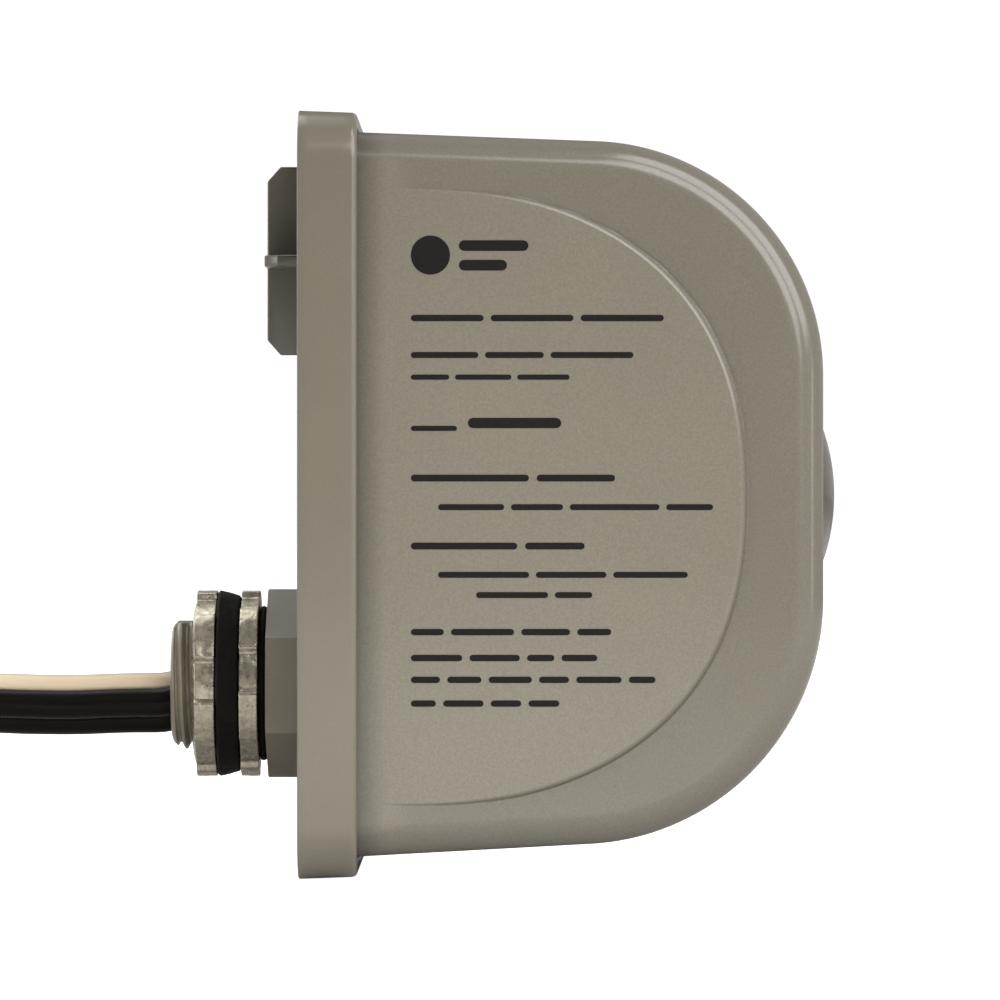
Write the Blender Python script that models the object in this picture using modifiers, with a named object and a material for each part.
"""Hard-wired surge protective device: a D-shaped housing on a flanged base
cover, with a threaded conduit nipple, two locknuts, seals and three leads.

Frame: the origin is the middle of the base cover's back face. +X points to
the rounded front with the indicator lens, +Z is up, and the nipple points
along -X. Dimensions are in millimetres and are scaled to metres by MM.
A pair named ..._X, ..._Y or ..._Z is a (low, high) span along that axis.
"""
import math
from contextlib import contextmanager

import bmesh
import bpy
from mathutils import Matrix, Vector

for old in list(bpy.data.objects):
    bpy.data.objects.remove(old, do_unlink=True)

MM = 0.001
TAU = 2.0 * math.pi
PAST = 1.0               # how far cutters run past the surface they cut
NEAR = 1e-3              # tolerance when picking edges by position

PARTS = bpy.data.collections.new("surge_protective_device")
TOOLS = bpy.data.collections.new("cutters")
bpy.context.scene.collection.children.link(PARTS)
bpy.context.scene.collection.children.link(TOOLS)


# ----------------------------------------------------------------- materials
def finish(name, rgb, roughness, metallic=0.0, transmission=0.0):
    mat = bpy.data.materials.new(name)
    mat.use_nodes = True
    inputs = mat.node_tree.nodes["Principled BSDF"].inputs
    inputs["Base Color"].default_value = (*rgb, 1.0)
    inputs["Roughness"].default_value = roughness
    inputs["Metallic"].default_value = metallic
    inputs["Transmission Weight"].default_value = transmission
    mat.diffuse_color = (*rgb, 1.0)
    return mat


HOUSING_GREY = finish("housing_grey", rgb=(0.27, 0.245, 0.195), roughness=0.45)
NIPPLE_GREY = finish("nipple_grey", rgb=(0.22, 0.20, 0.16), roughness=0.4)
LENS_SMOKE = finish("lens_smoke", rgb=(0.20, 0.18, 0.14), roughness=0.15, transmission=0.5)
ZINC = finish("zinc", rgb=(0.42, 0.38, 0.30), roughness=0.42, metallic=1.0)
BLACK_RUBBER = finish("black_rubber", rgb=(0.012, 0.011, 0.010), roughness=0.6)
BLACK_PVC = finish("black_pvc", rgb=(0.012, 0.011, 0.009), roughness=0.3)
WHITE_PVC = finish("white_pvc", rgb=(0.72, 0.62, 0.48), roughness=0.35)
COPPER = finish("copper", rgb=(0.72, 0.34, 0.17), roughness=0.35, metallic=1.0)
STEEL = finish("screw_steel", rgb=(0.55, 0.54, 0.52), roughness=0.3, metallic=1.0)
BOARD_GREEN = finish("board_green", rgb=(0.03, 0.16, 0.06), roughness=0.5)
DISC_BLUE = finish("disc_blue", rgb=(0.03, 0.09, 0.30), roughness=0.45)
TIN = finish("tinned_brass", rgb=(0.62, 0.60, 0.55), roughness=0.3, metallic=1.0)
GASKET_BLACK = finish("gasket_black", rgb=(0.02, 0.02, 0.02), roughness=0.75)
LED_GREEN = finish("led_green_epoxy", rgb=(0.05, 0.45, 0.10), roughness=0.2)
LED_RED = finish("led_red_epoxy", rgb=(0.55, 0.03, 0.02), roughness=0.2)
RESISTOR_TAN = finish("resistor_tan", rgb=(0.55, 0.40, 0.22), roughness=0.5)
DIODE_BLACK = finish("diode_black", rgb=(0.02, 0.02, 0.02), roughness=0.4)
CUTOFF_METAL = finish("cutoff_case", rgb=(0.60, 0.58, 0.55), roughness=0.3, metallic=1.0)


# -------------------------------------------------------------- mesh helpers
@contextmanager
def editing(mesh):
    """Open the mesh as a bmesh and write it back afterwards."""
    work = bmesh.new()
    work.from_mesh(mesh)
    yield work
    work.to_mesh(mesh)
    work.free()
    mesh.update()


def smooth(mesh, degrees=32.0):
    mesh.shade_smooth()
    mesh.set_sharp_from_angle(angle=math.radians(degrees))


def weld(mesh):
    with editing(mesh) as work:
        bmesh.ops.remove_doubles(work, verts=work.verts, dist=1e-6)
        bmesh.ops.dissolve_degenerate(work, dist=1e-7, edges=work.edges)
        bmesh.ops.recalc_face_normals(work, faces=work.faces)


def one_face_caps(mesh):
    """Make each flat end of an extruded outline a single face."""
    with editing(mesh) as work:
        bmesh.ops.dissolve_limit(work, angle_limit=math.radians(0.05),
                                 verts=work.verts, edges=work.edges)
        bmesh.ops.recalc_face_normals(work, faces=work.faces)


def baked(guide, matrix):
    """Turn a guide object into a mesh moved by the matrix; remove the guide."""
    TOOLS.objects.link(guide)
    bpy.context.view_layer.update()
    graph = bpy.context.evaluated_depsgraph_get()
    mesh = bpy.data.meshes.new_from_object(guide.evaluated_get(graph), depsgraph=graph)
    mesh.transform(matrix)
    bpy.data.objects.remove(guide, do_unlink=True)
    return mesh


# ------------------------------------------------------------ object helpers
# Every builder below makes a visible part when it is given a material, and
# a hidden tool for a boolean when it is not.
def link(obj, mat):
    if mat is None:
        TOOLS.objects.link(obj)
        obj.hide_render = True
        obj.display_type = "WIRE"
    else:
        obj.data.materials.append(mat)
        PARTS.objects.link(obj)


def mesh_object(name, mesh, mat=None, origin=(0, 0, 0)):
    """Wrap the mesh in an object whose origin is at the given point."""
    point = Vector(origin) * MM
    mesh.transform(Matrix.Translation(-point))
    obj = bpy.data.objects.new(name, mesh)
    obj.location = point
    link(obj, mat)
    return obj


PLANES = {
    # flat outline coordinates (u, v) to the world: rotation, extrusion axis
    "XZ": (Matrix(((1, 0, 0, 0), (0, 0, -1, 0), (0, 1, 0, 0), (0, 0, 0, 1))), (0, 1, 0)),
    "YZ": (Matrix(((0, 0, 1, 0), (1, 0, 0, 0), (0, 1, 0, 0), (0, 0, 0, 1))), (1, 0, 0)),
    "XY": (Matrix.Identity(4), (0, 0, 1)),
}


def plate_mesh(outlines, plane, low, high):
    """A flat outline (with holes) filled and extruded from low to high."""
    curve = bpy.data.curves.new("outline", "CURVE")
    curve.dimensions = "2D"
    curve.fill_mode = "BOTH"
    curve.extrude = (high - low) * 0.5 * MM
    for points in outlines:
        spline = curve.splines.new("POLY")
        spline.points.add(len(points) - 1)
        for slot, (u, v) in zip(spline.points, points):
            slot.co = (u * MM, v * MM, 0.0, 1.0)
        spline.use_cyclic_u = True
    turn, axis = PLANES[plane]
    shift = Vector(axis) * ((high + low) * 0.5 * MM)
    mesh = baked(bpy.data.objects.new("outline", curve), Matrix.Translation(shift) @ turn)
    mesh.materials.clear()
    weld(mesh)
    if len(outlines) == 1:
        one_face_caps(mesh)
    return mesh


def plate(name, outlines, plane, low, high, mat=None, origin=(0, 0, 0)):
    return mesh_object(name, plate_mesh(outlines, plane, low, high), mat, origin)


def turned(name, profile, centre, mat=None, steps=48, origin_x=None):
    """A profile of (x, radius) pairs turned about an axis parallel to X.

    centre is the axis's (y, z). A profile whose two ends lie on the axis
    stays open there; any other profile is closed into a ring.
    """
    points = [(radius, x) for x, radius in profile]
    closed = not (points[0][0] < 1e-9 and points[-1][0] < 1e-9)
    area = sum(here[0] * after[1] - after[0] * here[1]
               for here, after in zip(points, points[1:] + points[:1]))
    if area > 0:             # one winding for all, so that faces point outwards
        points.reverse()
    if origin_x is None:
        origin_x = points[0][1]
    edges = [(i, i + 1) for i in range(len(points) - 1)]
    if closed:
        edges.append((len(points) - 1, 0))
    mesh = bpy.data.meshes.new(name)
    mesh.from_pydata([(radius * MM, 0.0, (x - origin_x) * MM) for radius, x in points],
                     edges, [])
    obj = bpy.data.objects.new(name, mesh)
    obj.location = (origin_x * MM, centre[0] * MM, centre[1] * MM)
    obj.rotation_euler = (0.0, math.pi / 2.0, 0.0)
    screw = obj.modifiers.new("turn", "SCREW")
    screw.axis = "Z"
    screw.angle = TAU
    screw.steps = steps
    screw.render_steps = steps
    screw.use_merge_vertices = True
    screw.merge_threshold = 1e-6
    screw.use_smooth_shade = True
    link(obj, mat)
    return obj


def rods(name, axis, centres, low, high, radius, segments=16, mat=None):
    """Round rods from low to high along "X" or "Y".

    centres are (y, z) pairs for rods along X and (x, z) pairs along Y.
    """
    work = bmesh.new()
    for across, z in centres:
        start, end = (
            Vector((level, across, z) if axis == "X" else (across, level, z)) * MM
            for level in (low, high))
        along = end - start
        turn = along.to_track_quat("Z", "Y").to_matrix().to_4x4()
        bmesh.ops.create_cone(
            work, cap_ends=True, cap_tris=False, segments=segments,
            radius1=radius * MM, radius2=radius * MM, depth=along.length,
            matrix=Matrix.Translation((start + end) * 0.5) @ turn)
    mesh = bpy.data.meshes.new(name)
    work.to_mesh(mesh)
    work.free()
    smooth(mesh)
    return mesh_object(name, mesh, mat)


def boxes(name, items):
    """Axis-aligned blocks, each (low corner, high corner), as one tool."""
    work = bmesh.new()
    for low, high in items:
        start, end = Vector(low) * MM, Vector(high) * MM
        bmesh.ops.create_cube(
            work, size=1.0, matrix=Matrix.Translation((start + end) * 0.5)
            @ Matrix.Diagonal((*(end - start), 1.0)))
    mesh = bpy.data.meshes.new(name)
    work.to_mesh(mesh)
    work.free()
    return mesh_object(name, mesh)


def swept(name, points, radius, bevel_resolution, mat=None):
    """A closed round bar along the points."""
    curve = bpy.data.curves.new(name, "CURVE")
    curve.dimensions = "3D"
    curve.bevel_depth = radius * MM
    curve.bevel_resolution = bevel_resolution
    curve.use_fill_caps = True
    spline = curve.splines.new("POLY")
    spline.points.add(len(points) - 1)
    for slot, (x, y, z) in zip(spline.points, points):
        slot.co = (x * MM, y * MM, z * MM, 1.0)
    mesh = baked(bpy.data.objects.new(name + "_guide", curve), Matrix.Identity(4))
    mesh.materials.clear()
    weld(mesh)
    smooth(mesh, 50)
    return mesh_object(name, mesh, mat)


def boolean(target, tool, operation, overlapping=False):
    """overlapping: the tool's own pieces run through one another."""
    mod = target.modifiers.new(operation.lower() + "_" + tool.name, "BOOLEAN")
    mod.operation = operation
    mod.object = tool
    mod.solver = "EXACT"
    mod.use_self = overlapping


def both_at_x(start, end, x):
    return abs(start.x - x) < NEAR and abs(end.x - x) < NEAR


def set_bevel(obj, test, width, segments):
    """Bevel the edges for which test(start, end, edge) holds, ends in mm."""
    with editing(obj.data) as work:
        layer = work.edges.layers.float.new("bevel_weight_edge")
        for edge in work.edges:
            start, end = (vert.co / MM for vert in edge.verts)
            edge[layer] = 1.0 if test(start, end, edge) else 0.0
    mod = obj.modifiers.new("round_edges", "BEVEL")
    mod.limit_method = "WEIGHT"
    mod.width = width * MM
    mod.segments = segments
    mod.use_clamp_overlap = False


def rounded_rectangle(half_u, half_v, radius, steps):
    points = []
    for sign_u, sign_v, start in ((1, 1, 0.0), (-1, 1, 90.0), (-1, -1, 180.0), (1, -1, 270.0)):
        for k in range(steps + 1):
            angle = math.radians(start + 90.0 * k / steps)
            points.append((sign_u * (half_u - radius) + radius * math.cos(angle),
                           sign_v * (half_v - radius) + radius * math.sin(angle)))
    return points


def circle(centre, radius, steps, phase=0.0):
    return [(centre[0] + radius * math.cos(TAU * k / steps + phase),
             centre[1] + radius * math.sin(TAU * k / steps + phase))
            for k in range(steps)]


# --------------------------------------------------------- shared dimensions
COVER_DEPTH = 9.4        # front edge of the base cover's flange
COVER_FLOOR = 3.6        # thickness of the cover's floor
HOUSE_BACK = 4.8         # the housing's open end, inside the cover's rim
HOUSE_FRONT = 83.5       # flat front face
HOUSE_HALF_Y = 37.6      # half width at the flange's front edge

# the four cover screws, as (y, z)
SCREW_Y = 31.5
SCREW_Z = 51.5
SCREW_PLACES = [(side * SCREW_Y, end * SCREW_Z) for end in (1, -1) for side in (-1, 1)]

NIPPLE_AXIS = (0, -30.9)         # (y, z)
NIPPLE_Z = NIPPLE_AXIS[1]

BOARD_Y = (10.0, 11.6)
POST_Y = (11.8, 19.0)
POST_Z = (40.6, 47.8)            # the upper post; the lower one mirrors it
BOARD_SCREW_X = 19.0
BOARD_SCREW_Z = sum(POST_Z) / 2
BOARD_SCREW_PLACES = [(BOARD_SCREW_X, side * BOARD_SCREW_Z) for side in (1, -1)]
BOARD_HOLE_R = 1.6               # in the board and in its posts
PIN_END = BOARD_Y[0] - 0.1       # where component pins stop, just off the board

# ---------------------------------------------------------------- base cover
COVER_HALF_Y = 41.0
COVER_HALF_Z = 61.0
COVER_CORNER_R = 8.0
COVER_DRAFT = 0.035              # slope of the flange's outer wall
COVER_LOOPS_Z = (-15.3, 11.0)    # edge loops below and above the middle
COVER_BEVEL = 0.9
RIM_T = 2.9                      # flange wall around the pocket, at the back
POCKET_CORNER_R = 5.6

FOOT_Z = 38.4                    # middle of the foot's upright rib
FOOT_CROSS_Z = 37.9
FOOT_ARM = 15.45
FOOT_BACK = -6.2
FOOT_ROOT = 1.2                  # sunk into the cover's floor
FOOT_T = 1.86
FOOT_CHAMFER_X = 2.2
FOOT_CHAMFER_ARM = 2.45

POST_FRONT = 24.0
POST_HOLE_DEPTH = 5.6
COVER_HOLE_R = 2.0
COUNTERBORE_R = 3.9
COUNTERBORE_DEPTH = 2.1
NIPPLE_HOLE_R = 10.5


def cover_blank():
    mesh = plate_mesh([rounded_rectangle(COVER_HALF_Y, COVER_HALF_Z, COVER_CORNER_R, 5)],
                      "YZ", 0.0, COVER_DEPTH)
    for vert in mesh.vertices:
        inset = COVER_DRAFT * (vert.co.x / MM)
        vert.co.y *= (COVER_HALF_Y - inset) / COVER_HALF_Y
        vert.co.z *= (COVER_HALF_Z - inset) / COVER_HALF_Z
    with editing(mesh) as work:
        for level in COVER_LOOPS_Z:
            bmesh.ops.bisect_plane(
                work, geom=list(work.verts) + list(work.edges) + list(work.faces),
                dist=1e-7, plane_co=(0, 0, level * MM), plane_no=(0, 0, 1))
    smooth(mesh)
    cover = mesh_object("base_cover", mesh, HOUSING_GREY)
    set_bevel(cover, lambda start, end, edge: both_at_x(start, end, COVER_DEPTH),
              COVER_BEVEL, 2)
    return cover


def foot_rib(name, plane, arm_middle, plate_middle):
    """A chamfered rib standing out behind the cover."""
    low, high = arm_middle - FOOT_ARM, arm_middle + FOOT_ARM
    outline = [
        (FOOT_ROOT, low), (FOOT_ROOT, high), (FOOT_BACK + FOOT_CHAMFER_X, high),
        (FOOT_BACK, high - FOOT_CHAMFER_ARM), (FOOT_BACK, low + FOOT_CHAMFER_ARM),
        (FOOT_BACK + FOOT_CHAMFER_X, low)]
    return plate(name, [outline], plane, plate_middle - FOOT_T / 2, plate_middle + FOOT_T / 2)


def build_base_cover():
    """A flanged tray with a cross-shaped foot behind and two board posts."""
    cover = cover_blank()
    pocket = plate(
        "cover_pocket",
        [rounded_rectangle(COVER_HALF_Y - RIM_T, COVER_HALF_Z - RIM_T, POCKET_CORNER_R, 4)],
        "YZ", COVER_FLOOR, COVER_DEPTH + 2 * PAST)
    boolean(cover, pocket, "DIFFERENCE")
    boolean(cover, foot_rib("foot_upright", "XZ", FOOT_Z, 0.0), "UNION")
    boolean(cover, foot_rib("foot_cross", "XY", 0.0, FOOT_CROSS_Z), "UNION")
    posts = boxes("board_posts", [
        ((COVER_FLOOR - PAST, POST_Y[0], low), (POST_FRONT, POST_Y[1], high))
        for low, high in (POST_Z, (-POST_Z[1], -POST_Z[0]))])
    boolean(cover, posts, "UNION")
    for cutter in (
            rods("cover_counterbores", "X", SCREW_PLACES, -PAST, COUNTERBORE_DEPTH,
                 COUNTERBORE_R),
            rods("cover_holes", "X", SCREW_PLACES, -PAST, COVER_FLOOR + PAST,
                 COVER_HOLE_R, segments=12),
            rods("nipple_hole", "X", [NIPPLE_AXIS], -PAST, COVER_FLOOR + PAST,
                 NIPPLE_HOLE_R, segments=36),
            rods("post_holes", "Y", BOARD_SCREW_PLACES, POST_Y[0] - PAST,
                 POST_Y[0] + POST_HOLE_DEPTH, BOARD_HOLE_R, segments=12)):
        boolean(cover, cutter, "DIFFERENCE")


# ------------------------------------------------------------- front housing
HOUSE_SLOPE = 0.035      # draft of the side and top walls
NOSE_R = 37.3            # upper big corner
NOSE_X = HOUSE_FRONT - NOSE_R
NOSE_Z = 19.0
CHIN_R = 39.0            # lower big corner
CHIN_X = HOUSE_FRONT - CHIN_R
CHIN_Z = -16.6
CHIN_SLOPE = 0.052       # the bottom wall rises more towards the front
EDGE_R = 5.0             # fillet between the sides and the outline
EDGE_MAX_DY = 2.9        # edges with a larger step in y cross the body
WALL = 2.5

# raised flat pad on each side: a superellipse with a straight back edge
PAD_Y = 37.45            # half distance between the two pads' faces
PAD_X = 13.8
PAD_Z = -0.3
PAD_REACH_X = 56.6
PAD_REACH_Z = 49.0
PAD_POWER = 2.4
PAD_BACK = 12.0
PAD_CHAMFER = 0.8

BOSS_R = 4.0
BOSS_BACK = HOUSE_BACK + 0.15
BOSS_FRONT = 24.0
PILOT_R = 1.65
PILOT_FRONT = 18.5
LENS_HOLE_R = 12.4
LENS_HOLE_X = (78.0, 90.0)


def d_outline(back, inset, steps=11):
    """The housing's D in the X-Z plane, moved inwards by inset."""

    def corner(x, z, full_radius, slope, sign):
        radius = full_radius - inset
        top = math.pi / 2 - math.atan(slope)
        bend = [(x + radius * math.cos(top * (1 - k / steps)),
                 z + sign * radius * math.sin(top * (1 - k / steps)))
                for k in range(steps + 1)]
        bend_x, bend_z = bend[0]
        return [(back, bend_z + sign * slope * (bend_x - back))] + bend

    upper = corner(NOSE_X, NOSE_Z, NOSE_R, HOUSE_SLOPE, 1.0)
    lower = corner(CHIN_X, CHIN_Z, CHIN_R, CHIN_SLOPE, -1.0)
    return upper + lower[::-1]


def d_body(name, back, inset, edge_segments, mat=None):
    """A solid D narrowing to the front, with rounded side edges."""
    half_width = HOUSE_HALF_Y - inset
    mesh = plate_mesh([d_outline(back, inset)], "XZ", -half_width, half_width)
    for vert in mesh.vertices:
        lean = HOUSE_SLOPE * (vert.co.x / MM - COVER_DEPTH)
        vert.co.y *= (half_width - lean) / half_width
    smooth(mesh)
    obj = mesh_object(name, mesh, mat)

    def on_side_edge(start, end, edge):
        on_side = abs(start.y - end.y) < EDGE_MAX_DY and start.y * end.y > 0
        folded = len(edge.link_faces) == 2 and \
            edge.link_faces[0].normal.dot(edge.link_faces[1].normal) < 0.5
        return on_side and not both_at_x(start, end, back) and folded

    set_bevel(obj, on_side_edge, EDGE_R - inset, edge_segments)
    return obj


def pad_outline(steps=11):
    points = [(PAD_BACK, PAD_Z + PAD_REACH_Z)]
    for k in range(2 * steps + 1):
        angle = math.pi / 2 * (1 - k / steps)
        across, up = math.cos(angle), math.sin(angle)
        points.append((
            PAD_X + PAD_REACH_X * max(across, 0.0) ** (2 / PAD_POWER),
            PAD_Z + PAD_REACH_Z * math.copysign(abs(up) ** (2 / PAD_POWER), up)))
    points.append((PAD_BACK, PAD_Z - PAD_REACH_Z))
    return points


def build_front_housing():
    """The hollow D shell, with side pads, screw bosses and a lens hole."""
    housing = d_body("front_housing", HOUSE_BACK, 0.0, 3, HOUSING_GREY)
    cavity = d_body("cavity", HOUSE_BACK - 2 * PAST, WALL, 1)
    pads = plate("side_pads", [pad_outline()], "XZ", -PAD_Y, PAD_Y)
    set_bevel(pads, lambda start, end, edge: abs(start.y - end.y) < NEAR
              and not both_at_x(start, end, PAD_BACK), PAD_CHAMFER, 1)
    boolean(housing, pads, "UNION")
    boolean(housing, cavity, "DIFFERENCE")
    bosses = rods("screw_bosses", "X", SCREW_PLACES, BOSS_BACK, BOSS_FRONT, BOSS_R)
    boolean(housing, bosses, "UNION")
    pilots = rods("pilot_holes", "X", SCREW_PLACES, HOUSE_BACK - PAST, PILOT_FRONT,
                  PILOT_R, segments=10)
    boolean(housing, pilots, "DIFFERENCE")
    lens_hole = rods("lens_hole", "X", [(0, 0)], *LENS_HOLE_X, LENS_HOLE_R, segments=36)
    boolean(housing, lens_hole, "DIFFERENCE")


# -------------------------------------------------------------- cover gasket
GASKET_HALF_Z = 57.6
GASKET_BAND = 3.2
GASKET_OUTER_R = 5.2
GASKET_INNER_R = 20.0
GASKET_HOLE_R = 1.8
GASKET_GAP = 0.08        # to the cover's floor and to the housing


def build_cover_gasket():
    """A frame between the housing's open end and the cover's floor."""
    outlines = [
        rounded_rectangle(HOUSE_HALF_Y, GASKET_HALF_Z, GASKET_OUTER_R, 4),
        rounded_rectangle(HOUSE_HALF_Y - GASKET_BAND, GASKET_HALF_Z - GASKET_BAND,
                          GASKET_INNER_R, 7)]
    outlines += [circle(place, GASKET_HOLE_R, 10) for place in SCREW_PLACES]
    plate("cover_gasket", outlines, "YZ", COVER_FLOOR + GASKET_GAP,
          HOUSE_BACK - GASKET_GAP, GASKET_BLACK)


# ---------------------------------------------------------------------- lens
LENS_SPHERE_R = 33.0
LENS_T = 2.0
LENS_R = 14.4
LENS_EDGE_STEP = 0.15    # the dome starts this far inside the lens's edge
LENS_HEIGHT = 3.35       # dome height above the housing's front
LENS_FLANGE_BACK = 83.6
SPIGOT_BACK = 79.2
SPIGOT_R = 12.0
SPIGOT_BORE_R = 11.0

RETAINER_PROFILE = [     # (x, radius)
    (79.5, 12.3), (79.5, 14.6), (80.0, 15.0), (80.9, 15.0), (80.9, 12.3)]


def dome(sphere_radius, rim_radius, steps):
    """A dome's profile from its rim to its tip on the lens's axis."""
    centre_x = HOUSE_FRONT + LENS_HEIGHT - LENS_SPHERE_R
    rim_angle = math.asin(rim_radius / sphere_radius)
    return [(centre_x + sphere_radius * math.cos(rim_angle * (1 - k / steps)),
             sphere_radius * math.sin(rim_angle * (1 - k / steps)))
            for k in range(steps + 1)]


def build_lens():
    """The domed indicator lens and the ring behind the front wall."""
    profile = dome(LENS_SPHERE_R - LENS_T, SPIGOT_BORE_R, 3)[::-1]
    profile += [(SPIGOT_BACK, SPIGOT_BORE_R), (SPIGOT_BACK, SPIGOT_R),
                (LENS_FLANGE_BACK, SPIGOT_R), (LENS_FLANGE_BACK, LENS_R)]
    profile += dome(LENS_SPHERE_R, LENS_R - LENS_EDGE_STEP, 5)
    turned("indicator_lens", profile, (0, 0), LENS_SMOKE, 30)
    turned("lens_retainer", RETAINER_PROFILE, (0, 0), STEEL, 24)


# ------------------------------------------------------------ conduit nipple
THREAD_END = -21.7
THREAD_PITCH = 1.814             # 1/2-14 thread
THREAD_MAJOR_R = 10.6
THREAD_MINOR_R = 9.62
THREAD_ROOT_R = THREAD_MINOR_R - 0.15    # the ridge is sunk into the core
THREAD_START = THREAD_END - 0.9
THREAD_TURNS = 9
CREST_HALF = 0.13
ROOT_HALF = 0.80
BORE_R = 8.0
BORE_CHAMFER = 0.8
CORE_END_CHAMFER = (0.25, 0.2)           # (x, radius)
HEX_FLATS = 26.76
HEX_X = (-6.15, -0.08)
HEX_BORE_R = 9.0
SHANK_R = 10.2
SHANK_BACK = HEX_X[0] + 1.0
SHANK_FRONT = 8.6

BACKNUT_FLATS = 26.0
BACKNUT_BORE_R = 10.6
BACKNUT_X = (COVER_FLOOR + 0.1, 8.0)

NIPPLE_PROFILE = [       # (x, radius)
    (THREAD_END, BORE_R + BORE_CHAMFER),
    (THREAD_END, THREAD_MINOR_R - CORE_END_CHAMFER[1]),
    (THREAD_END + CORE_END_CHAMFER[0], THREAD_MINOR_R),
    (SHANK_BACK, THREAD_MINOR_R), (SHANK_BACK, SHANK_R),
    (SHANK_FRONT, SHANK_R), (SHANK_FRONT, BORE_R),
    (THREAD_END + BORE_CHAMFER, BORE_R)]

# what is kept of the nipple: chamfers the thread's end and the hex corners
ENVELOPE_PROFILE = [     # (x, radius)
    (THREAD_END, 0.0), (THREAD_END, 9.35), (THREAD_END + 1.35, 10.75),
    (HEX_X[0] - 0.3, 10.75), (HEX_X[0] - 0.3, 15.0), (HEX_X[0] + 0.45, 15.75),
    (HEX_X[1] + 0.5, 16.2), (SHANK_FRONT + PAST, 16.2), (SHANK_FRONT + PAST, 0.0)]


def hexagon(across_flats):
    return circle(NIPPLE_AXIS, across_flats / math.sqrt(3.0), 6, math.pi / 2)


def thread_ridge():
    """One trapezoid thread section swept along its helix and capped."""
    section = [(THREAD_ROOT_R, -ROOT_HALF), (THREAD_MAJOR_R, -CREST_HALF),
               (THREAD_MAJOR_R, CREST_HALF), (THREAD_ROOT_R, ROOT_HALF)]
    mesh = bpy.data.meshes.new("thread_ridge")
    mesh.from_pydata([(radius * MM, 0.0, z * MM) for radius, z in section],
                     [(0, 1), (1, 2), (2, 3), (3, 0)], [])
    guide = bpy.data.objects.new("thread_guide", mesh)
    screw = guide.modifiers.new("helix", "SCREW")
    screw.axis = "Z"
    screw.angle = TAU
    screw.screw_offset = THREAD_PITCH * MM
    screw.iterations = THREAD_TURNS
    screw.steps = 18
    screw.render_steps = 18
    screw.use_merge_vertices = False
    ridge = baked(guide, Matrix.Translation(Vector((THREAD_START, 0, NIPPLE_Z)) * MM)
                  @ Matrix.Rotation(math.pi / 2, 4, "Y"))
    with editing(ridge) as work:
        bmesh.ops.remove_doubles(work, verts=work.verts, dist=1e-7)
        open_edges = [edge for edge in work.edges if len(edge.link_faces) == 1]
        bmesh.ops.holes_fill(work, edges=open_edges, sides=0)
        bmesh.ops.recalc_face_normals(work, faces=work.faces)
    smooth(ridge, 25)
    return mesh_object("thread_ridge", ridge)


def build_nipple():
    """The threaded tube with its hex collar, and the hex nut inside."""
    nipple = turned("conduit_nipple", NIPPLE_PROFILE, NIPPLE_AXIS, NIPPLE_GREY, 32)
    collar = plate("hex_collar", [hexagon(HEX_FLATS)], "YZ", *HEX_X)
    collar_bore = rods("collar_bore", "X", [NIPPLE_AXIS], HEX_X[0] - PAST,
                       HEX_X[1] + PAST, HEX_BORE_R, segments=24)
    boolean(collar, collar_bore, "DIFFERENCE")
    boolean(nipple, collar, "UNION")
    boolean(nipple, thread_ridge(), "UNION")
    envelope = turned("thread_envelope", ENVELOPE_PROFILE, NIPPLE_AXIS, steps=30)
    boolean(nipple, envelope, "INTERSECT")
    plate("nipple_backnut",
          [hexagon(BACKNUT_FLATS), circle(NIPPLE_AXIS, BACKNUT_BORE_R, 28)],
          "YZ", *BACKNUT_X, STEEL)


# ------------------------------------------- seals and locknuts on the thread
SEAL_X = (-7.25, -6.22)
SEAL_R = 12.7
INNER_NUT_X = (-10.35, -7.32)
WASHER_X = (-14.2, -10.45)
OUTER_NUT_X = (-17.6, -14.3)
NUT_BORE_R = 10.95               # also the bore of the seals
NUT_R = 15.25                    # over the lugs
NUT_VALLEY_R = 14.15
LUGS = 6
LUG_PITCH_DEG = 360.0 / LUGS
LUG_DEG = 33.0
LUG_FLANK_DEG = 2.0
INNER_NUT_PHASE = -20.2          # degrees, from -Y towards +Z
OUTER_NUT_PHASE = 33.3

WASHER_PROFILE = [       # (x, radius)
    (WASHER_X[0], NUT_BORE_R), (WASHER_X[0], 14.9), (WASHER_X[0] + 0.5, 15.35),
    (WASHER_X[1] - 0.4, 14.55), (WASHER_X[1], 14.2), (WASHER_X[1], NUT_BORE_R)]

LIP_REACH = 0.5          # how far the cone stands out behind the outer nut
LIP_BORE_R = NUT_BORE_R + 0.12
LIP_PROFILE = [          # (x, radius)
    (OUTER_NUT_X[0] + 0.8, LIP_BORE_R), (OUTER_NUT_X[0] - LIP_REACH, LIP_BORE_R),
    (OUTER_NUT_X[0] - LIP_REACH, 12.2), (OUTER_NUT_X[0] + 0.05, 13.6),
    (OUTER_NUT_X[0] + 0.8, 13.6)]


def build_seals():
    """The round-edged seal ring and the thicker sealing washer."""
    middle = sum(SEAL_X) / 2
    half = (SEAL_X[1] - SEAL_X[0]) / 2
    edge_r = SEAL_R - half
    profile = [(SEAL_X[0], NUT_BORE_R), (SEAL_X[0], edge_r)]
    profile += [(middle - half * math.cos(math.pi * k / 3),
                 edge_r + half * math.sin(math.pi * k / 3)) for k in (1, 2)]
    profile += [(SEAL_X[1], edge_r), (SEAL_X[1], NUT_BORE_R)]
    turned("seal_ring", profile, NIPPLE_AXIS, BLACK_RUBBER, 32, origin_x=middle)
    turned("sealing_washer", WASHER_PROFILE, NIPPLE_AXIS, BLACK_RUBBER, 32,
           origin_x=sum(WASHER_X) / 2)


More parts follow.
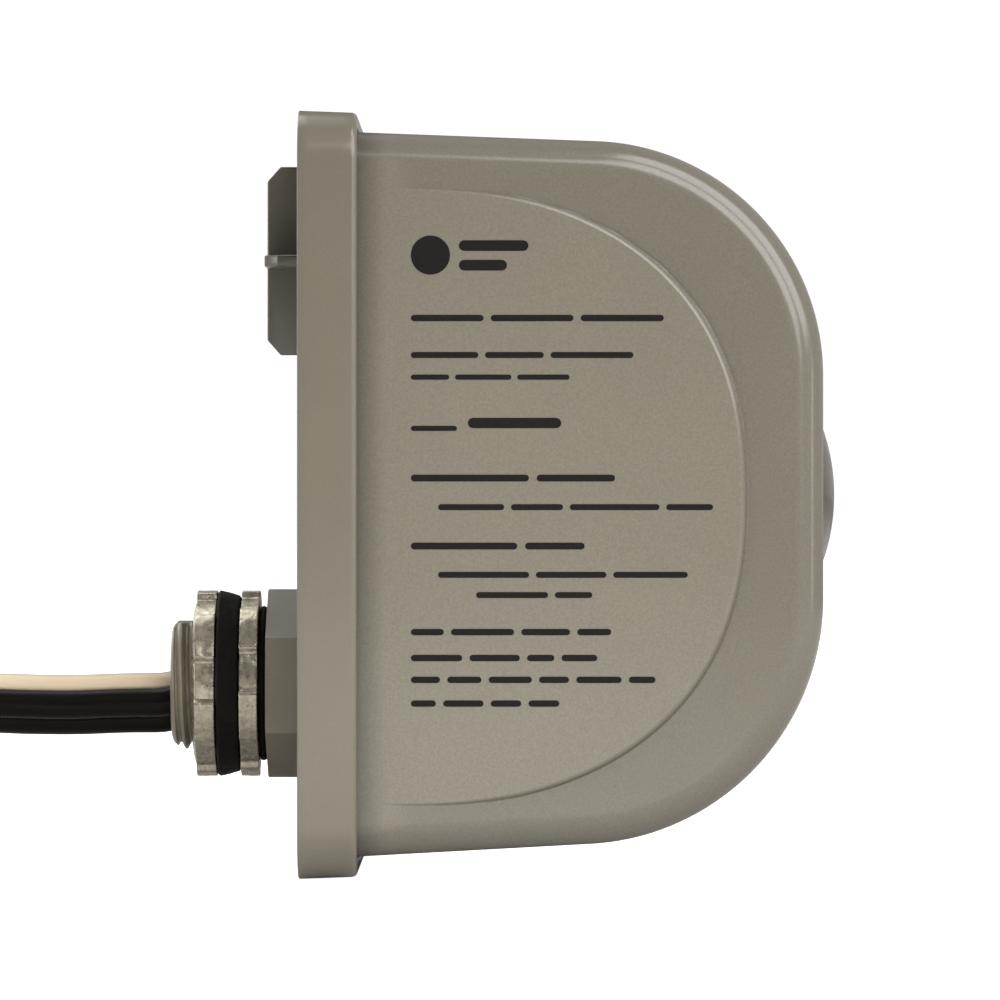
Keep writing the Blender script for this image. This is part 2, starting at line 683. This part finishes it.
def lug_outline(phase):
    """Lugs around the nipple's axis; angles run from -Y towards +Z."""
    half = LUG_DEG / 2
    foot = half + LUG_FLANK_DEG
    valley = LUG_PITCH_DEG - 2 * foot
    pattern = [(-foot, NUT_VALLEY_R), (-half, NUT_R)]
    pattern += [(-half + LUG_DEG * k / 3, NUT_R) for k in (1, 2)]
    pattern += [(half, NUT_R), (foot, NUT_VALLEY_R)]
    pattern += [(foot + valley * k / 3, NUT_VALLEY_R) for k in (1, 2)]
    points = []
    for lug in range(LUGS):
        for degrees, radius in pattern:
            angle = math.radians(phase + LUG_PITCH_DEG * lug + degrees)
            points.append((-radius * math.cos(angle), NIPPLE_Z + radius * math.sin(angle)))
    return points


def locknut(name, span, phase):
    nut = plate(name, [lug_outline(phase), circle(NIPPLE_AXIS, NUT_BORE_R, 30)],
                "YZ", *span, ZINC, origin=(sum(span) / 2, *NIPPLE_AXIS))
    smooth(nut.data, 40)
    return nut


def build_locknuts():
    """Two lugged nuts; the outer has a short cone around its bore."""
    locknut("inner_locknut", INNER_NUT_X, INNER_NUT_PHASE)
    outer = locknut("outer_locknut", OUTER_NUT_X, OUTER_NUT_PHASE)
    lip = turned("outer_locknut_lip", LIP_PROFILE, NIPPLE_AXIS, steps=30)
    boolean(outer, lip, "UNION")


# --------------------------------------------------------------------- leads
LEAD_R = 2.4
LEAD_BORE_R = 1.68
WIRE_R = 1.3
LEAD_X = (-102.0, 17.4)          # insulation
WIRE_X = (-111.0, 21.7)          # bare conductor
BORE_OVERRUN = 2.0               # the bore's cutter runs past both ends
BORE_LEAN = 0.25                 # its outer end leans by this share of a step

# changes along a lead: where each starts, and over what length
RISE_START, RISE_LENGTH, RISE = -24.5, 11.0, 2.2
RIPPLE_FADE_START, RIPPLE_FADE_LENGTH = -40.0, 16.0
RIPPLE_HEIGHT, RIPPLE_RATE, RIPPLE_ZERO = 0.35, 0.11, -24.0
SPLAY_START, SPLAY_LENGTH = -52.0, 55.0      # runs outwards, along -X
TAB_START, TAB_LENGTH = 8.5, 9.0

LEAD_MARKS = (           # x positions, close together where a lead bends
    *LEAD_X, -92.0, -81.0, -70.0, -60.0, -50.0, -40.0, -33.0, -25.0, -22.6,
    -20.0, -17.2, -14.0, 8.0, 10.4, 12.2, 14.0, 15.8)

LEADS = [
    # name, centre outside (y, z), centre at its tab (y, z),
    # splay at the far end (y, z), insulation
    ("neutral_lead", (1.5, -31.6), (1.0, -24.0), (1.5, 5.5), WHITE_PVC),
    ("line_lead_1", (-2.9, -34.0), (-1.0, -32.0), (-6.5, 0.5), BLACK_PVC),
    ("line_lead_2", (1.5, -36.7), (1.0, -40.0), (2.5, -5.0), BLACK_PVC),
]

LEAD_SEAL_X = (-11.0, -3.0)
LEAD_SEAL_PROFILE = [    # (x, radius)
    (LEAD_SEAL_X[0], 0.0), (LEAD_SEAL_X[0], 7.4), (-10.8, 7.65), (-3.2, 7.65),
    (LEAD_SEAL_X[1], 7.4), (LEAD_SEAL_X[1], 0.0)]
LEAD_SEAL_HOLE_R = 2.75
LEAD_SEAL_CENTRE = (0.05, -31.9)     # (y, z) of the small middle hole
LEAD_SEAL_CENTRE_R = 1.4

# L-shaped tab, each lead's own at the lead's inner end
TAB_X = (22.0, 28.0)
TAB_T = 0.8
TAB_LOW_Y = -5.0
TAB_FOOT_Y = 9.1
TAB_HALF_Z = 3.2


def ease(part):
    """A smooth step from 0 to 1 while part runs from 0 to 1."""
    part = min(max(part, 0.0), 1.0)
    return part * part * (3.0 - 2.0 * part)


def lead_path(low, high, outside, tab, splay):
    """The lead's centre line between two x positions."""
    marks = {round(low, 4), round(high, 4)}
    marks.update(x for x in LEAD_MARKS if low < x < high)
    path = []
    for x in sorted(marks):
        y, z = outside
        z += RISE * ease((x - RISE_START) / RISE_LENGTH)
        ripple = 1.0 - ease((x - RIPPLE_FADE_START) / RIPPLE_FADE_LENGTH)
        z += ripple * RIPPLE_HEIGHT * math.sin((x - RIPPLE_ZERO) * RIPPLE_RATE)
        far = ease((SPLAY_START - x) / SPLAY_LENGTH)
        y += far * splay[0]
        z += far * splay[1]
        inner = ease((x - TAB_START) / TAB_LENGTH)
        y += (tab[0] - y) * inner
        z += (tab[1] - z) * inner
        path.append((x, y, z))
    return path


def build_lead(name, outside, tab, splay, mat):
    """A hollow insulation sleeve with its bare conductor."""
    path = lead_path(*LEAD_X, outside, tab, splay)
    sheath = swept(name, path, LEAD_R, 2, mat)
    first, second, last = path[0], path[1], path[-1]
    before = (first[0] - BORE_OVERRUN,
              first[1] - (second[1] - first[1]) * BORE_LEAN,
              first[2] - (second[2] - first[2]) * BORE_LEAN)
    after = (last[0] + BORE_OVERRUN, last[1], last[2])
    bore = swept(name + "_bore", [before, *path, after], LEAD_BORE_R, 1)
    boolean(sheath, bore, "DIFFERENCE")
    swept(name.replace("lead", "conductor"), lead_path(*WIRE_X, outside, tab, splay),
          WIRE_R, 1, COPPER)


def build_lead_seal():
    """A plug in the nipple's bore with a hole for each lead."""
    places = [(outside[0], outside[1] + RISE) for _, outside, *_ in LEADS]
    holes = rods("seal_holes", "X", places, LEAD_SEAL_X[0] - PAST, LEAD_SEAL_X[1] + PAST,
                 LEAD_SEAL_HOLE_R)
    centre = rods("seal_centre", "X", [LEAD_SEAL_CENTRE], LEAD_SEAL_X[0] - 1.5 * PAST,
                  LEAD_SEAL_X[1] + 1.5 * PAST, LEAD_SEAL_CENTRE_R, segments=8)
    seal = turned("lead_seal", LEAD_SEAL_PROFILE, NIPPLE_AXIS, GASKET_BLACK, 24)
    boolean(seal, holes, "DIFFERENCE", overlapping=True)
    boolean(seal, centre, "DIFFERENCE")


def build_terminal_tab(number, middle_z):
    back, front = TAB_X
    outline = [(back, TAB_LOW_Y), (back + TAB_T, TAB_LOW_Y), (back + TAB_T, TAB_FOOT_Y),
               (front, TAB_FOOT_Y), (front, PIN_END), (back, PIN_END)]
    plate(f"terminal_tab_{number}", [outline], "XY", middle_z - TAB_HALF_Z,
          middle_z + TAB_HALF_Z, TIN)


def build_leads():
    for number, (name, outside, tab, splay, mat) in enumerate(LEADS, 1):
        build_lead(name, outside, tab, splay, mat)
        build_terminal_tab(number, tab[1])
    build_lead_seal()


# -------------------------------------------------------------------- screws
HEAD_R = 3.5
SHAFT_R = 1.3
SCREW_PROFILE = [        # (x, radius)
    (0.25, 0.0), (0.25, HEAD_R - 0.6), (0.75, HEAD_R), (2.0, HEAD_R),
    (2.0, SHAFT_R), (15.6, SHAFT_R), (16.6, 0.35), (16.6, 0.0)]
RECESS_X = (-0.5, 1.25)
RECESS_LONG = 1.7        # half length and half width of each slot
RECESS_SHORT = 0.35

BOARD_HEAD_R = 2.6
BOARD_HEAD_Y = (BOARD_Y[0] - 1.5, BOARD_Y[0] - 0.1)
BOARD_STEM_R = 1.25
BOARD_STEM_Y = (BOARD_Y[0] - 0.6, POST_Y[0] + 5.0)


def build_cover_screw(name, y, z):
    """A pointed screw with a cross recess in its head."""
    screw = turned(name, SCREW_PROFILE, (y, z), STEEL, 12)
    for suffix, half_y, half_z in (("_recess", RECESS_LONG, RECESS_SHORT),
                                   ("_recess_b", RECESS_SHORT, RECESS_LONG)):
        slot = boxes(name + suffix, [((RECESS_X[0], y - half_y, z - half_z),
                                      (RECESS_X[1], y + half_y, z + half_z))])
        boolean(screw, slot, "DIFFERENCE")


def build_board_screw(name, place):
    screw = rods(name, "Y", [place], *BOARD_HEAD_Y, BOARD_HEAD_R, mat=STEEL)
    stem = rods(name + "_rod_12", "Y", [place], *BOARD_STEM_Y, BOARD_STEM_R, segments=12)
    boolean(screw, stem, "UNION")


def build_screws():
    for number, (y, z) in enumerate(SCREW_PLACES, 1):
        build_cover_screw(f"cover_screw_{number}", y, z)
    for number, place in enumerate(BOARD_SCREW_PLACES, 1):
        build_board_screw(f"board_screw_{number}", place)


# ------------------------------------------------------------- circuit board
BOARD_X = (14.0, 74.0)
BOARD_HALF_Z = 48.0
BOARD_CORNER_R = 29.0    # the two front corners


def build_circuit_board(steps=8):
    centre_x, centre_z = BOARD_X[1] - BOARD_CORNER_R, BOARD_HALF_Z - BOARD_CORNER_R
    upper = [(BOARD_X[0], BOARD_HALF_Z)]
    upper += [(centre_x + BOARD_CORNER_R * math.sin(math.pi / 2 * k / steps),
               centre_z + BOARD_CORNER_R * math.cos(math.pi / 2 * k / steps))
              for k in range(steps + 1)]
    outline = upper + [(x, -z) for x, z in reversed(upper)]
    holes = [circle(place, BOARD_HOLE_R, 12) for place in BOARD_SCREW_PLACES]
    plate("circuit_board", [outline] + holes, "XZ", *BOARD_Y, BOARD_GREEN)


# ---------------------------------------- components on the board's -Y side
VARISTOR_PLACES = [(40.0, 18.0), (54.0, 18.0), (40.0, -14.0), (54.0, -14.0)]  # (x, z)
VARISTOR_Y = -4.5
VARISTOR_R = 12.5
VARISTOR_HALF_T = 2.75
VARISTOR_CHAMFER = 1.0
VARISTOR_PIN_R = 0.45
VARISTOR_PIN_HALF_PITCH = 3.75
VARISTOR_PIN_START_Y = 4.0

# length and radius are the body's; span is between the two wires' feet
CUTOFF = dict(x=47.0, y=7.2, length=11.0, radius=2.0, span=16.0, wire_r=0.45,
              mat=CUTOFF_METAL)
RESISTOR = dict(x=30.5, y=8.0, length=6.3, radius=1.25, span=10.0, wire_r=0.32,
                mat=RESISTOR_TAN)
DIODE = dict(x=30.5, y=8.0, length=5.0, radius=1.3, span=10.0, wire_r=0.38,
             mat=DIODE_BLACK)
AXIAL_PARTS = [          # name, kind, z
    ("thermal_cutoff_1", CUTOFF, 36.0), ("thermal_cutoff_2", CUTOFF, -36.0),
    ("resistor_1", RESISTOR, 9.0), ("resistor_2", RESISTOR, 14.0),
    ("diode_1", DIODE, -3.0), ("diode_2", DIODE, -9.0)]
AXIAL_CHAMFER = 0.3
WIRE_SUNK = 0.8          # length of wire inside the body
WIRE_BEND = 0.6          # cut across each wire's right-angled bend

LED_Y = 6.6
LED_FLANGE_X = (66.4, 67.4)
LED_FLANGE_R = 2.9
LED_R = 2.5
LED_DOME_X = 74.5        # where the rounded tip starts
LED_PIN_R = 0.3
LED_PIN_X = (62.4, 67.0)
LED_PIN_HALF_PITCH = 1.27


def build_varistor(name, x, z):
    """A disc across X with two pins to the board."""
    inner_r, half = VARISTOR_R - VARISTOR_CHAMFER, VARISTOR_HALF_T
    disc = turned(name, [
        (x - half, 0.0), (x - half, inner_r), (x - half + VARISTOR_CHAMFER, VARISTOR_R),
        (x + half - VARISTOR_CHAMFER, VARISTOR_R), (x + half, inner_r), (x + half, 0.0)],
        (VARISTOR_Y, z), DISC_BLUE, 22)
    places = [(x, z + side * VARISTOR_PIN_HALF_PITCH) for side in (1, -1)]
    pins = rods(name + "_pins", "Y", places, VARISTOR_PIN_START_Y, PIN_END,
                VARISTOR_PIN_R, segments=6)
    boolean(disc, pins, "UNION")


def build_axial_part(name, z, x, y, length, radius, span, wire_r, mat):
    """A small body along X with a bent wire at each end down to the board."""
    half, inner_r = length / 2, radius - AXIAL_CHAMFER
    body = turned(name, [
        (x - half, 0.0), (x - half, inner_r), (x - half + AXIAL_CHAMFER, radius),
        (x + half - AXIAL_CHAMFER, radius), (x + half, inner_r), (x + half, 0.0)],
        (y, z), mat, 10)
    for side in (-1, 1):
        foot_x = x + side * span / 2
        wire = swept(f"{name}_wire_{side + 2}", [
            (x + side * (half - WIRE_SUNK), y, z), (foot_x - side * WIRE_BEND, y, z),
            (foot_x, y + WIRE_BEND, z), (foot_x, PIN_END, z)], wire_r, 0)
        boolean(body, wire, "UNION")


def build_led(name, z, mat):
    """A flanged, round-tipped body facing +X with two bent pins behind."""
    flange_back, flange_front = LED_FLANGE_X
    profile = [(flange_back, 0.0), (flange_back, LED_FLANGE_R),
               (flange_front, LED_FLANGE_R), (flange_front, LED_R), (LED_DOME_X, LED_R)]
    profile += [(LED_DOME_X + LED_R * math.sin(math.pi / 2 * k / 4),
                 LED_R * math.cos(math.pi / 2 * k / 4)) for k in (1, 2, 3)]
    profile += [(LED_DOME_X + LED_R, 0.0)]
    body = turned(name, profile, (LED_Y, z), mat, 12)
    foot_x, sunk_x = LED_PIN_X
    for side in (-1, 1):
        pin_z = z + side * LED_PIN_HALF_PITCH
        pin = swept(f"{name}_pin_{side + 2}", [
            (sunk_x, LED_Y, pin_z), (foot_x + WIRE_BEND, LED_Y, pin_z),
            (foot_x, LED_Y + WIRE_BEND, pin_z), (foot_x, PIN_END, pin_z)], LED_PIN_R, 0)
        boolean(body, pin, "UNION")


def build_components():
    for number, (x, z) in enumerate(VARISTOR_PLACES, 1):
        build_varistor(f"varistor_{number}", x, z)
    for name, kind, z in AXIAL_PARTS:
        build_axial_part(name, z, **kind)
    build_led("led_green", 5.5, LED_GREEN)
    build_led("led_red", -5.5, LED_RED)


build_base_cover()
build_front_housing()
build_cover_gasket()
build_lens()
build_nipple()
build_seals()
build_locknuts()
build_leads()
build_screws()
build_circuit_board()
build_components()
